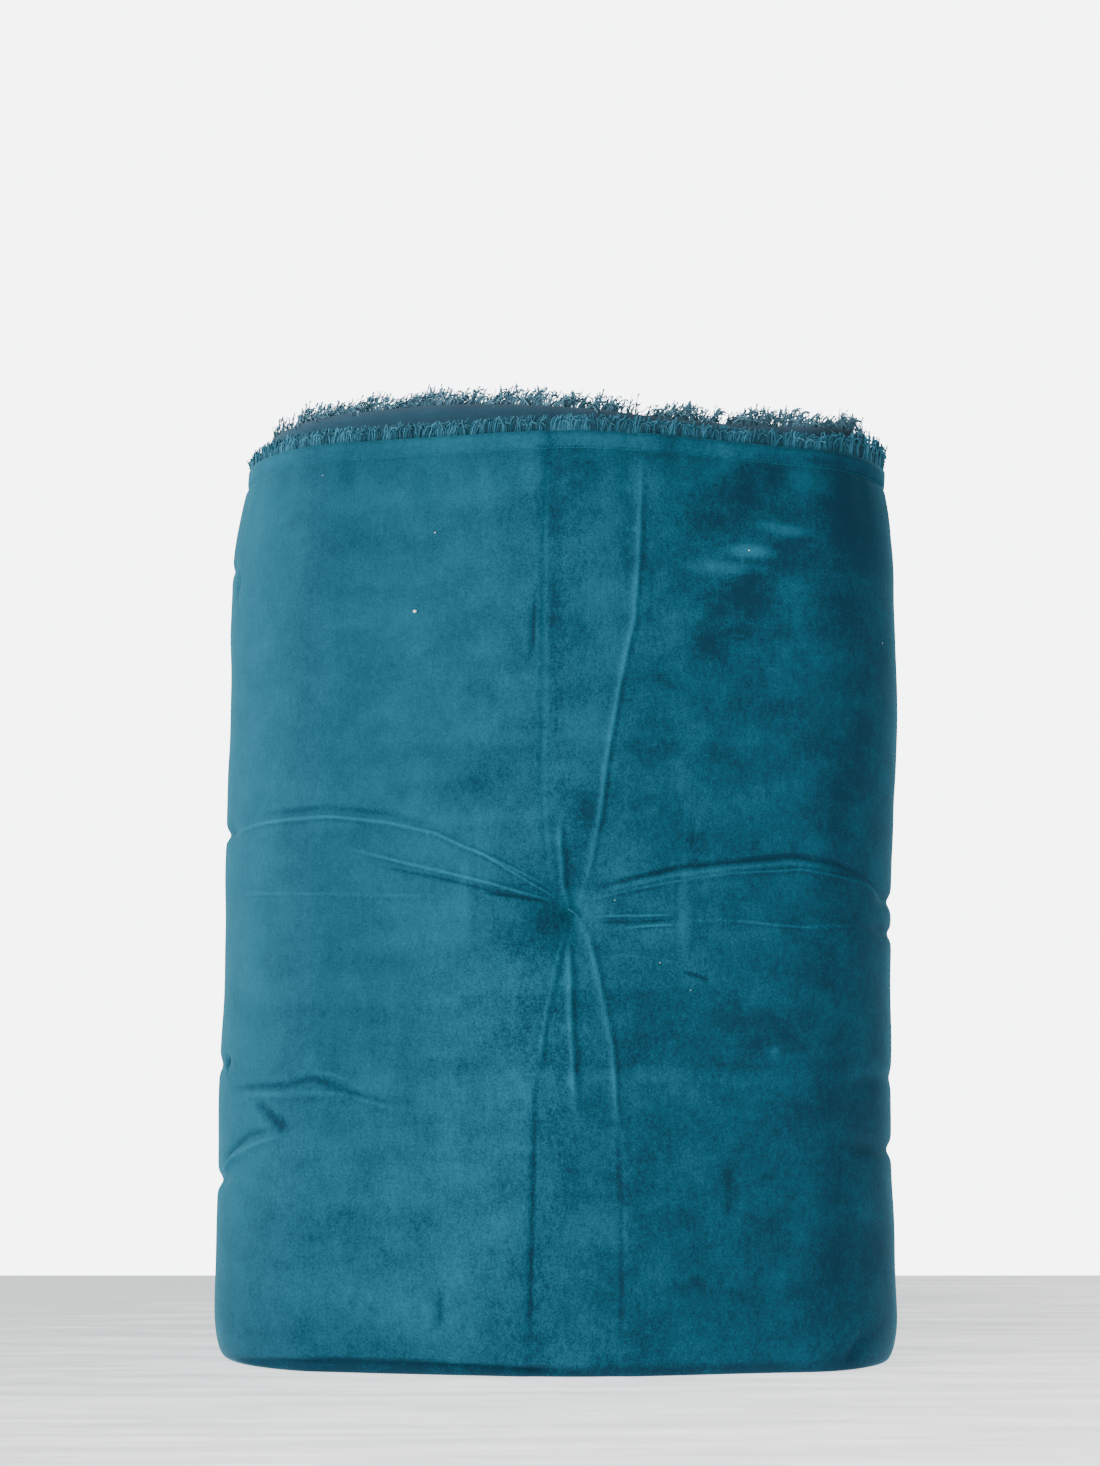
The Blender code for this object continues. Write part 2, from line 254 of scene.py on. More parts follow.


# ------------------------------------------------------- creases on the velvet

# A crease is a line of (place on the face, height), how far it stands out or in and how wide it
# is, all in millimetres, and how much lighter it is painted along a ridge as a painted highlight,
# and darker as painted shade in a fold.
CREASE_TABLE = (
    # channel left, above
    (((-12.6, 681.9), (-12.5, 535.8), (-12.9, 444.7), (-10.6, 404.2), (-6.8, 366.3),
      (-0.4, 343.4), (6.3, 334.5)), -0.5, 2.2, 0.16),
    # inner left ridge
    (((-0.3, 398.2), (1.7, 374.4), (3.7, 352.2), (8.5, 335.3)), 1.3, 1.9, 0.34),
    # right ridge
    (((57.4, 683.1), (56.1, 598.4), (52.8, 552.6), (47.6, 530.1), (41.8, 500.2), (33, 444.8),
      (30, 409.5), (23, 366.3), (18.4, 347.1), (13.6, 336)), 1.1, 1.9, 0.3),
    # centre ridge below
    (((8.2, 318.4), (10.4, 283.4), (11, 256.5), (12.9, 230.6), (15.5, 186.9)), 1.5, 2.3, 0.3),
    # below right ridge
    (((13.7, 331.6), (22.8, 314.8), (29.9, 288.5), (35.6, 262.4), (41.9, 235.6), (46.8, 174)),
      1.1, 1.9, 0.3),
    # below right line
    (((46.8, 181.1), (48.8, 124.4), (49, 19.8)), -0.4, 2.2, -0.2),
    # below left ridge
    (((7.9, 328.7), (4.7, 312.6), (-2.6, 278.3), (-8.4, 243.6), (-11.5, 209.8)), 0.8, 1.8, 0.2),
    # below left line
    (((-9.5, 224.1), (-13.5, 195.4), (-14, 155.6), (-16, 55.2), (-17.4, 19.9)), -0.5, 2, -0.26),
    # left upper ridge
    (((-272.2, 397.2), (-228.7, 403.1), (-169.8, 405.6), (-126.2, 400.2), (-91, 391.4),
      (-71.6, 382.1), (-52.3, 374.3), (-28.6, 362.1), (-1.3, 348.6)), 1.3, 2.2, 0.26),
    # left upper dark
    (((-228.9, 409.3), (-170, 412.4), (-126.3, 407), (-87.5, 396.5)), -0.9, 4, -0.16),
    # left between
    (((-62, 378.9), (-36.7, 363.7), (-17.4, 352.4), (-1.2, 343.4)), 1.2, 1.7, 0.28),
    # left second ridge
    (((-154.1, 381.1), (-120.3, 371.6), (-75.5, 360.5), (-51.8, 354.3), (-28.2, 347.3),
      (-1.1, 340.5)), 1.3, 2, 0.3),
    # left second dark
    (((-131.3, 367.3), (-75.4, 355.3), (-51.7, 349.1), (-27.4, 342.9)), -1, 2.2, -0.26),
    # left faint
    (((-256.5, 350.5), (-168.3, 346.8), (-75.9, 344.2)), 0.5, 1.9, 0.12),
    # left lowest
    (((-55.3, 346.9), (-28.1, 343.6), (-6.9, 340.5)), -0.9, 1.8, -0.26),
    # right upper dark
    (((24.9, 349.3), (59, 358.5), (88.3, 365.6), (126, 370.6), (174.6, 375.9), (208.8, 371.4),
      (235.9, 360.5), (259.5, 347.1)), -1.6, 3, -0.34),
    # right upper band
    (((30.8, 347.1), (59.1, 354.1), (88.4, 360.4), (126.2, 365.4), (174.7, 370.6),
      (209.7, 365.4)), 0.9, 3.6, 0.16),
    # right second ridge
    (((25.1, 341.9), (54.1, 348.8), (85.6, 355.1), (126.2, 361.7), (180.9, 365.4), (236, 356),
      (256.4, 345.5)), 1.1, 1.8, 0.22),
    # right short upper
    (((28.3, 329.5), (60.5, 329.7), (87.7, 330.7)), 0.9, 1.6, 0.3),
    # right short lower
    (((50.4, 320.8), (68, 322.4), (87.8, 323.4)), 0.9, 1.6, 0.34),
    # right short dark
    (((31.3, 325.1), (60.6, 325.3), (87.8, 327)), -0.8, 1.6, -0.24),
    # right beyond the mark
    (((95.9, 326.4), (129.3, 326.7), (181.9, 322), (224.8, 324.4)), 0.8, 1.7, 0.22),
    # right faint below
    (((44.3, 301), (68.5, 298.9), (90.7, 295.4)), 0.4, 1.8, 0.1),
    # short dark tick
    (((93.8, 288.1), (104.2, 286), (112.4, 282.4)), -0.9, 2.2, -0.36),
    # dark tick upper
    (((95.7, 399.3), (96.6, 389.6), (97.6, 379.9)), -0.5, 1.8, -0.22),
    # lower right tick
    (((126.5, 144.9), (130.8, 130.6), (127.6, 112.9)), -1.6, 3.2, -0.3),
    # lower left tick
    (((-83.9, 60.3), (-80.1, 47.8), (-83.6, 32.4)), -1.6, 3.4, -0.3),
    # lower left tick 2
    (((-91, 44.8), (-87.3, 36.5), (-96, 32.1)), 0.9, 2.2, 0.14),
    # channel tick
    (((-20.7, 566.7), (-21.3, 536), (-22.7, 522.2)), -0.7, 1.6, -0.34),
    # low left streak
    (((-228.1, 194.1), (-211.6, 182.6), (-197.2, 171.9)), -2.2, 5.5, -0.34),
    # low left dark arc
    (((-269.2, 148.1), (-253, 158.3), (-234.1, 168.7), (-211.3, 173.1)), -1.6, 4.5, -0.2),
    # low left bright arc
    (((-277.4, 136.1), (-256.1, 152.1), (-220.8, 164), (-200.6, 169.7)), 2, 3.4, 0.16),
    # low left band dark
    (((-255.4, 203.3), (-198, 205.6), (-178.8, 210.8), (-149.9, 200.7), (-120, 195)),
      -1.5, 4.2, -0.22),
    # low left band light
    (((-244.2, 198.2), (-154.4, 200.7), (-127.4, 192.1), (-101.3, 188.6)), 1.2, 3.6, 0.12),
    # low left hump
    (((-178.9, 215.2), (-161.4, 213.8), (-148.5, 208)), 1, 3.6, 0.14),
    # below the hem at the right fold: a painted shadow under the hem
    (((165, 689), (207.5, 683.6), (236.1, 679.6), (270, 674)), -0.8, 4, -0.12),
    # upper left tick
    (((-275.3, 586.5), (-268.9, 598.7), (-264.5, 606.9)), -2.2, 4, -0.3),
    # left dot
    (((-273, 219.1), (-268.2, 222.9), (-263.7, 226.7)), -3, 4, -0.55),
    # outer layer foot: painted shade where it meets the floor
    (((-245.6, 4), (-191.9, 7.6), (-158.6, 9.1), (-80.5, 8.2), (-16.6, 6.1), (26, 4.4)),
      -3.6, 2.6, -0.9),
    # right foot fold, with painted shade in it
    (((217.3, 7.2), (221.8, 15.4), (229.5, 26.2)), -3.4, 3, -0.4),
    # upper right streak
    (((61.6, 536.7), (66.2, 567.7), (65, 598.7)), -0.3, 2.5, -0.1),
    # diagonal right
    (((57.6, 464.1), (78.4, 451.7), (102.4, 434.9), (119, 422.4)), 0.5, 2, 0.1),
    # at the side folds: painted shade in the folds
    (((244.5, 347), (276, 346.5), (350, 345)), -3.4, 8, -0.3),
    (((235, 324.5), (276, 321.5), (350, 320)), -3, 7, -0.25),
    (((215, 164), (270, 156), (350, 155)), -3.8, 8, -0.2),
    (((210, 206), (265, 210), (335, 211)), -1.6, 9, -0.1),
    (((-250, 399), (-300, 401), (-370, 402)), -3.6, 7, -0.1),
    (((-256, 134), (-300, 132), (-370, 135)), -4, 8, -0.1),
    (((-275, 221), (-305, 220), (-350, 221)), -2.4, 8, -0.1),
    (((-275, 618), (-300, 616), (-330, 617)), -2, 7, 0),
)

CREASES = [(np.array(points) / 1000, stand / 1000, width / 1000, painted_light)
           for points, stand, width, painted_light in CREASE_TABLE]

# Where the pile's marks need closer rows: middle, half width, half height, how much closer.
FINE_PLACES = ((0.145, 0.610, 0.060, 0.030, 1.8), (-0.215, 0.180, 0.060, 0.030, 1.2))

LEVEL_SHARPER = 0.72    # level creases are drawn this much narrower
CREASE_TAPER = 5        # a crease is full this many times sooner than at its middle
CREASE_END = 0.10       # what is left of it at its two ends
CREASE_PAINTED_LIGHT = (1.25, 0.8)      # how much stronger its painted highlight or painted shade is than in the table, and how wide
FAR_SIDE_SHADE = (0.6, 1.6)   # how dark the painted shade on the far side of a ridge is, and how far off

# The sunk channel above and below the tuft, between two of the creases.
CHANNEL_Z = (0.013, 0.174, 0.262, 0.318, 0.337, 0.384, 0.460, 0.536, 0.690)
CHANNEL_LEFT = (-0.018, -0.014, -0.006, 0.004, 0.008, -0.006, -0.013, -0.013, -0.013)
CHANNEL_RIGHT = (0.049, 0.047, 0.036, 0.023, 0.014, 0.027, 0.035, 0.049, 0.057)
CHANNEL_DEPTH = 0.0016
CHANNEL_SOFT = 0.004


def is_level(points):
    """Whether a crease runs more across the face than up it."""
    (left, low), (right, high) = points[0], points[-1]
    return abs(right - left) > 1.5 * abs(high - low)


def along_crease(u, z, points):
    """Distance of each place on the face to a crease, and how far along it that is."""
    lengths = np.linalg.norm(np.diff(points, axis=0), axis=1)
    starts = np.concatenate([[0.0], np.cumsum(lengths)])
    nearest = np.full(u.shape, 1e9)
    share = np.zeros(u.shape)
    for first, second, start, length in zip(points, points[1:], starts, lengths):
        step = (second - first) / length
        t = np.clip((u - first[0]) * step[0] + (z - first[1]) * step[1], 0, length)
        distance = np.hypot(u - first[0] - t * step[0], z - first[1] - t * step[1])
        closer = distance < nearest
        nearest = np.where(closer, distance, nearest)
        share = np.where(closer, (start + t) / starts[-1], share)
    return nearest, share


def soft_step(value, width):
    return 0.5 + 0.5 * np.tanh(value / width)


def in_channel(u, z):
    left = np.interp(z, CHANNEL_Z, CHANNEL_LEFT)
    right = np.interp(z, CHANNEL_Z, CHANNEL_RIGHT)
    return soft_step(u - left, CHANNEL_SOFT) * soft_step(right - u, CHANNEL_SOFT)


def creased(u, z):
    """How far the creases stand out, and how much they lighten or darken the velvet's colour: painted
    highlights on ridges, painted shade in folds and beside ridges.
    """
    height = np.zeros(u.shape)
    lighter = np.zeros(u.shape)
    for points, stand, width, painted_light in CREASES:
        level = is_level(points)
        wide = width * (LEVEL_SHARPER if level else 1.0)
        distance, share = along_crease(u, z, points)
        taper = np.clip(np.minimum(share, 1 - share) * CREASE_TAPER + CREASE_END, 0, 1)
        height += stand * taper * bell(distance, wide)
        lighter += CREASE_PAINTED_LIGHT[0] * painted_light * taper * bell(distance, CREASE_PAINTED_LIGHT[1] * wide)
        if stand > 0:
            # painted shade on the far side of a standing ridge
            far_shade, offset = FAR_SIDE_SHADE
            away = (0.0, offset * wide) if level else (-offset * wide, 0.0)
            shaded, share = along_crease(u + away[0], z + away[1], points)
            lighter -= far_shade * painted_light * taper * bell(shaded, wide)
    return height, lighter


def relief(u, z, edge):
    """How far the velvet stands out (or in) at a place on the face."""
    from_tuft = np.hypot(u - TUFT[0], z - TUFT[1])
    height = -TUFT_DEPTH * bell(from_tuft, TUFT_REACH) - KNOT_DEPTH * bell(from_tuft, KNOT_REACH)
    height = height + creased(u, z)[0] - CHANNEL_DEPTH * in_channel(u, z)
    below = edge - z
    height = height - HEM_DENT[0] * bell(below - HEM, HEM_DENT[1])
    pucker = sum(np.sin(u * pace + start) * share for pace, start, share in PUCKERS)
    return height + PUCKER[0] * pucker * bell(below - PUCKER[1], PUCKER[2])


def smooth_noise(points, scale, seed):
    offset = Vector((seed * 3.1, seed * 7.7, seed * 1.3))
    return np.array([noise.noise(Vector(p) * scale + offset) for p in points])


# ------------------------------------------------------------------ meshes

def put(name, data):
    """An object for some data, in the scene."""
    item = bpy.data.objects.new(name, data)
    bpy.context.scene.collection.objects.link(item)
    return item


def mesh_piece(name, points, faces, material, attributes=None):
    mesh = bpy.data.meshes.new(name)
    mesh.from_pydata([tuple(p) for p in points], [], faces)
    mesh.materials.append(material)
    for key, values in (attributes or {}).items():
        layer = mesh.attributes.new(key, "FLOAT", "POINT")
        layer.data.foreach_set("value", np.asarray(values, dtype=np.float32))
    body = bmesh.new()
    body.from_mesh(mesh)
    body.normal_update()
    ends = [face for face in body.faces if len(face.verts) > 4]
    bmesh.ops.triangulate(body, faces=ends, ngon_method="EAR_CLIP")
    bmesh.ops.recalc_face_normals(body, faces=body.faces[:])
    body.to_mesh(mesh)
    body.free()
    mesh.shade_smooth()
    return put(name, mesh)


def loft(name, grid, material, attributes=None):
    """One closed body through rings of points; grid is (sections, points round, 3)."""
    sections, around = grid.shape[:2]
    index = np.arange(sections * around).reshape(sections, around)
    here = index[:-1]
    after = index[1:]
    quads = np.stack([here, np.roll(here, -1, 1), np.roll(after, -1, 1), after], axis=-1)
    faces = quads.reshape(-1, 4).tolist()
    faces.append(index[0][::-1].tolist())
    faces.append(index[-1].tolist())
    return mesh_piece(name, grid.reshape(-1, 3), faces, material, attributes)


def face_heights(edge, along):
    """Heights down the velvet of one leaf, closer together at the hem and along level creases."""
    depth = np.linspace(0.0, 1.0, DEPTH_TESTS)
    z = edge[:, None] - FACE_TOP - depth * (edge[:, None] - FACE_TOP - FOOT_HEIGHT)
    density = np.ones_like(z)
    for points, stand, width, painted_light in CREASES:
        if is_level(points):
            points = points[np.argsort(points[:, 0])]
            beyond = np.maximum(points[0, 0] - along, along - points[-1, 0])
            nearby = bell(np.maximum(beyond, 0.0), CREASE_BEYOND)
            middle = np.interp(along, points[:, 0], points[:, 1])
            density += CREASE_FINER * nearby[:, None] * bell(z - middle[:, None], CREASE_BAND)
    for middle, height, half_width, half_height, finer in FINE_PLACES:
        nearby = bell(along - middle, half_width)
        density += finer * nearby[:, None] * bell(z - height, half_height)
    rows = np.empty((len(along), FACE_STEPS))
    share = np.linspace(0, 1, FACE_STEPS)
    for i, column in enumerate(density):
        reached = np.cumsum(column) - column[0]
        rows[i] = np.interp(share, reached / reached[-1], z[i])
    return np.concatenate([edge[:, None] - np.array(HEM_ROWS), rows], axis=1)


def inner_heights(edge, steps, bottom):
    share = np.linspace(0, 1, steps)
    top = np.broadcast_to(np.array(INNER_HEM_ROWS), (len(edge), len(INNER_HEM_ROWS)))
    down = HEM + share[1:] * (edge[:, None] - HEM - bottom)
    return edge[:, None] - np.concatenate([top, down], axis=1)


def foot_curve(base):
    """The rounded foot of a leaf, from where it leaves the vertical to the flat base."""
    angle = np.linspace(0, np.pi / 2, FOOT_STEPS + 1)[1:]
    z = FOOT_HEIGHT * (1 - np.sin(angle))
    inward = FOOT_INWARD * (1 - np.cos(angle))
    n = np.maximum(base - inward, base * FOOT_NARROWEST)
    return n, np.broadcast_to(z, n.shape)


def make_quilt(table, along, material):
    front = front_edge(table[:, 0])
    back = back_edge(table[:, 0])
    ends = np.minimum(np.arange(len(table)), np.arange(len(table))[::-1])
    fullness = np.clip(ends / 2.0, 0, 1)[:, None]
    z_face = face_heights(front, along)
    n_face = velvet_n(z_face, front[:, None], fullness)
    base = velvet_n(0.1, front[:, None], fullness)
    n_foot, z_foot = foot_curve(base)
    z_rear = inner_heights(back, INNER_STEPS, FOOT_HEIGHT)[:, ::-1]
    n_rear = -velvet_n(z_rear, back[:, None], fullness)
    z_in = inner_heights(back, COTTON_STEPS, FOLD_BOTTOM)
    n_in = -cotton_n(z_in, back[:, None])
    z_out = inner_heights(front, COTTON_STEPS, FOLD_BOTTOM)[:, ::-1]
    n_out = cotton_n(z_out, front[:, None])

    outer = np.clip((table[:, 4] - (FRONT - 1)) * 4, 0, 1)[:, None]
    z_shown = np.concatenate([z_face, z_foot], axis=1)
    u = np.broadcast_to(along[:, None], z_shown.shape)
    n_shown = np.concatenate([n_face, n_foot], axis=1) + outer * relief(u, z_shown, front[:, None])

    n = np.concatenate([n_shown, -n_foot[:, ::-1], n_rear, n_in, n_out], axis=1)
    z = np.concatenate([z_face, z_foot, z_foot[:, ::-1], z_rear, z_in, z_out], axis=1)
    grid = place(table, n, z)
    count = z_shown.shape[1]
    flat = grid[:, :count].reshape(-1, 3)
    loose = sum(smooth_noise(flat, scale, seed) * rise for scale, seed, rise in LOOSE)
    loose = loose.reshape(len(table), count) * outer
    loose *= np.clip((front[:, None] - z_shown) / LOOSE_FROM, 0, 1)
    normal = table[:, 2:4]
    grid[:, :count, 0] += loose * normal[:, 0:1]
    grid[:, :count, 1] += loose * normal[:, 1:2]

    # The pile's lie with painted light and shade in it, for the velvet's colour.
    nap_and_shade = np.full(z.shape, 0.5)
    nap_and_shade[:, :count] = velvet_nap_and_shade(u, z_shown)
    worn = np.full(z.shape, 0.5)
    worn[:, :count] = velvet_wear(u, z_shown)
    return loft("velvet_quilt", grid, material, {"nap_and_shade": nap_and_shade.ravel(), "worn": worn.ravel()})


# Marks in the pile, among them painted shade near the foot: place on the face, height, half width
# and half height in millimetres, slope, and how much lighter.
PILE_AND_SHADE_MARKS = (
    (-68.5, 352, 4.2, 36, 0, 0.17), (-79, 322, 2.4, 22, 0, 0.1), (-58.5, 388, 2.2, 20, 0, 0.1),
    (-61, 345, 2.6, 30, 0, -0.08), (92.8, 333, 4.2, 36, 0, 0.18), (87, 335, 2.2, 30, 0, -0.08),
    (100, 372, 2.8, 12, 0, -0.16), (20, 696.5, 300, 8.5, -0.02, 0.1),
    (140, 608.5, 18.5, 5.2, 0, 0.62), (118, 595, 30, 4.8, 0, 0.4),
    (165, 627.5, 21, 5, -0.14, 0.34), (138, 660, 27, 24, 0.6, -0.2), (105, 625, 30, 15, 0, -0.1),
    (170, 615, 16, 6, 0.3, -0.22), (133, 568, 40, 20, 0.9, -0.2), (118, 545, 24, 26, 0.8, -0.14),
    (175, 555, 30, 32, 0, 0.08), (185, 668, 16, 14, -0.5, 0.18), (225, 640, 30, 50, 0, -0.1),
    (161, 230, 3.8, 3.8, 0, 0.4), (20, 464, 190, 4.5, 0, 0.08), (20, 450, 190, 6, 0, -0.06),
    (-55, 428, 26, 22, 0, -0.18), (-20, 402, 200, 5, 0, 0.05), (20, 405, 30, 30, 0, -0.08),
    (10, 264, 70, 9, 0, -0.16), (30, 278, 170, 6, 0, 0.06), (-150, 250, 90, 16, 0, -0.07),
    (120, 240, 70, 18, 0, -0.12), (30, 208, 210, 9, 0, 0.1), (-10, 224, 80, 8, 0, -0.14),
    (-110, 112, 50, 8, 0, -0.12), (-130, 298, 50, 7, 0, -0.08), (-25, 327, 32, 18, 0, -0.18),
    (45, 333, 24, 18, 0, -0.1), (-6, 600, 6, 90, 0, -0.16), (-2, 480, 4, 50, 0, -0.1),
    (30, 560, 14, 90, 0, 0.08), (47, 620, 6, 40, 0, -0.1), (18, 400, 11, 22, 0, -0.14),
    # The second mark here is painted shade at the far left foot; the last is a painted contact shadow
    # along the foot.
    (125, 90, 50, 50, 0, -0.06), (-250, 10, 50, 110, 0, -0.2), (-60, 10, 160, 16, 0, -0.08),
    (40, 0, 300, 6.4, 0, -0.9),
)
MARK_EDGE = 1.5     # the higher, the crisper a mark's edge

# How the pile lies across the face, with painted light and shade: lightest at the left, where the
# light falls, and darkest past the right fold, in painted shade.
NAP_PLACES = (-0.34, -0.24, -0.19, -0.10, -0.050, -0.025, -0.010, 0.004, 0.018, 0.034,
              0.050, 0.10, 0.165, 0.205, 0.25, 0.36)
NAP_WITH_SHADE = (0.56, 0.50, 0.34, 0.43, 0.42, 0.40, 0.33, 0.29, 0.33, 0.33,
            0.30, 0.27, 0.20, 0.09, 0.08, 0.12)
# How worn and uneven it is there.
WORN = (0.40, 0.40, 0.44, 0.50, 0.62, 0.72, 0.80, 0.80, 0.74, 0.72,
        0.75, 0.70, 0.62, 0.50, 0.45, 0.55)
WORN_MARKS = ((0.135, 0.590, 0.055, 0.060, 0.15), (-0.120, 0.100, 0.120, 0.120, 0.25),
              (-0.040, 0.260, 0.060, 0.060, 0.25))


def velvet_nap_and_shade(u, z):
    """How the pile lies, together with painted light and shade: the higher, the lighter the velvet is
    coloured.
    """
    nap_and_shade = np.interp(u, NAP_PLACES, NAP_WITH_SHADE)
    for *sizes, slope, lighter in PILE_AND_SHADE_MARKS:
        middle, height, half_width, half_height = np.array(sizes) / 1000
        across = (u - middle) / half_width
        up = (z - height - slope * (u - middle)) / half_height
        nap_and_shade = nap_and_shade + lighter * np.exp(-(across ** 2 + up ** 2) ** MARK_EDGE)
    return np.clip(nap_and_shade + creased(u, z)[1], 0, 1)


def velvet_wear(u, z):
    """How uneven the pile is: least at the upper left, most where it has been crushed."""
    wear = np.interp(u, NAP_PLACES, WORN)
    for middle, height, half_width, half_height, more in WORN_MARKS:
        wear = wear + more * bell(u - middle, half_width) * bell(z - height, half_height)
    return wear


def make_backing(table, material):
    rings = []
    for depth in (CLEARANCE, CLEARANCE + COTTON):
        sides = []
        for sign, edge in ((-1, back_edge(table[:, 0])), (1, front_edge(table[:, 0]))):
            z = inner_heights(edge, COTTON_STEPS, FOLD_BOTTOM)
            n = sign * (cotton_n(z, edge[:, None]) - depth)
            z[:, -1] = FOLD_BOTTOM + depth
            if sign == 1:
                n, z = n[:, ::-1], z[:, ::-1]
            sides.append((n, z))
        n = np.concatenate([side[0] for side in sides], axis=1)
        z = np.concatenate([side[1] for side in sides], axis=1)
        rings.append((n, z) if depth == CLEARANCE else (n[:, ::-1], z[:, ::-1]))
    n = np.concatenate([ring[0] for ring in rings], axis=1)
    z = np.concatenate([ring[1] for ring in rings], axis=1)
    return loft("cotton_backing", place(table, n, z), material)


# ------------------------------------------------------------ geometry nodes

class Tree:
    """Adds nodes and links to a geometry or shader tree."""

    def __init__(self, tree):
        self.tree = tree

    def link(self, start, end):
        self.tree.links.new(start, end)

    def add(self, kind, inputs=None, **settings):
        node = self.tree.nodes.new(kind)
        for key, value in settings.items():
            setattr(node, key, value)
        for key, value in (inputs or {}).items():
            if isinstance(value, bpy.types.NodeSocket):
                self.link(value, node.inputs[key])
            else:
                node.inputs[key].default_value = value
        return node

    def math(self, operation, first, second, clamp=False):
        node = self.add("ShaderNodeMath", {0: first, 1: second}, operation=operation)
        node.use_clamp = clamp
        return node.outputs[0]

    def plus(self, first, second, clamp=False):
        return self.math("ADD", first, second, clamp)

    def minus(self, first, second):
        return self.math("SUBTRACT", first, second)

    def times(self, first, second, clamp=False):
        return self.math("MULTIPLY", first, second, clamp)

    def vector(self, operation, first, second):
        node = self.add("ShaderNodeVectorMath", {0: first, 1: second}, operation=operation)
        return node.outputs[0]

    def joined(self, **parts):
        """A vector from its X, Y and Z."""
        return self.add("ShaderNodeCombineXYZ", parts).outputs[0]

    def noise(self, vector, scale, detail, roughness=0.5):
        return self.add("ShaderNodeTexNoise", {"Vector": vector, "Scale": scale, "Detail": detail,
                                               "Roughness": roughness}).outputs

    def uneven(self, value):
        """A value between 0 and 1, moved to lie about 0."""
        return self.minus(value, 0.5)

    def random(self, kind, **inputs):
        given = {key.replace("_", " "): value for key, value in inputs.items()}
        return self.add("FunctionNodeRandomValue", given, data_type=kind).outputs["Value"]


def geometry_tree(name, sockets):
    group = bpy.data.node_groups.new(name, "GeometryNodeTree")
    group.interface.new_socket("Geometry", in_out="INPUT", socket_type="NodeSocketGeometry")
    for label in sockets:
        kind = {"Material": "Material", "Seed": "Int"}.get(label, "Float")
        group.interface.new_socket(label, in_out="INPUT", socket_type="NodeSocket" + kind)
    group.interface.new_socket("Geometry", in_out="OUTPUT", socket_type="NodeSocketGeometry")
    tree = Tree(group)
    start = tree.add("NodeGroupInput")
    end = tree.add("NodeGroupOutput")
    return tree, start.outputs, end


def mark_points(tree, geometry, name, value):
    return tree.add("GeometryNodeStoreNamedAttribute",
                    {"Geometry": geometry, "Name": name, "Value": value},
                    data_type="FLOAT", domain="POINT").outputs["Geometry"]


def tube_along(tree, curve, sides, radius):
    ring = tree.add("GeometryNodeCurvePrimitiveCircle", {"Resolution": sides, "Radius": radius})
    tube = tree.add("GeometryNodeCurveToMesh", {
        "Curve": curve, "Profile Curve": ring.outputs["Curve"], "Fill Caps": True})
    return tube.outputs["Mesh"]


def spread_points(tree, given):
    """Points along the guide at the given spacing."""
    curve = tree.add("GeometryNodeMeshToCurve", {"Mesh": given["Geometry"]})
    return tree.add("GeometryNodeCurveToPoints", {
        "Curve": curve.outputs["Curve"], "Length": given["Spacing"]}, mode="LENGTH").outputs


def turned_along(tree, tangent, turn):
    """The rotation that lies along a path, with a turn of its own after that."""
    level = tree.add("FunctionNodeAlignRotationToVector", {"Vector": tangent}, axis="X",
                     pivot_axis="Z")
    euler = tree.add("FunctionNodeEulerToRotation", {"Euler": turn})
    return tree.add("FunctionNodeRotateRotation", {
        "Rotation": level.outputs[0], "Rotate By": euler.outputs[0]},
        rotation_space="LOCAL").outputs[0]


def finish_tree(tree, geometry, given, end):
    dressed = tree.add("GeometryNodeSetMaterial", {"Geometry": geometry,
                                                  "Material": given["Material"]})
    tree.link(dressed.outputs[0], end.inputs[0])
    return tree.tree


def yarn_shape(tree, bend, shorter, radius):
    """One yarn of unit length, which is scaled to the fringe's length later."""
    reach = tree.minus(1.0, shorter)
    belly_x, belly_z, tip_x, tip_z = bend
    middle = tree.joined(X=belly_x, Z=tree.times(reach, belly_z))
    tip = tree.joined(X=tip_x, Z=tree.times(reach, tip_z))
    curve = tree.add("GeometryNodeCurveQuadraticBezier", {"Resolution": 6, "Start": (0, 0, 0),
                                                         "Middle": middle, "End": tip})
    factor = tree.add("GeometryNodeSplineParameter").outputs["Factor"]
    marked = mark_points(tree, curve.outputs["Curve"], "tip", factor)
    return tube_along(tree, marked, 3, radius)


# Bends of a yarn: sideways and up at its belly, sideways and up at its tip; and how much of the
# undergrowth's shortening it takes.
YARN_BENDS = (
    ((0.05, 0.55, -0.05, 1.00), 0.0), ((0.04, 0.95, -0.40, 0.84), 0.10),
    ((-0.06, 0.50, 0.10, 1.02), 0.35), ((0.08, 0.85, -0.28, 0.95), 0.5),
    ((0.04, 1.20, -0.50, 0.62), 0.75), ((0.05, 0.60, -0.14, 0.92), 0.9),
)


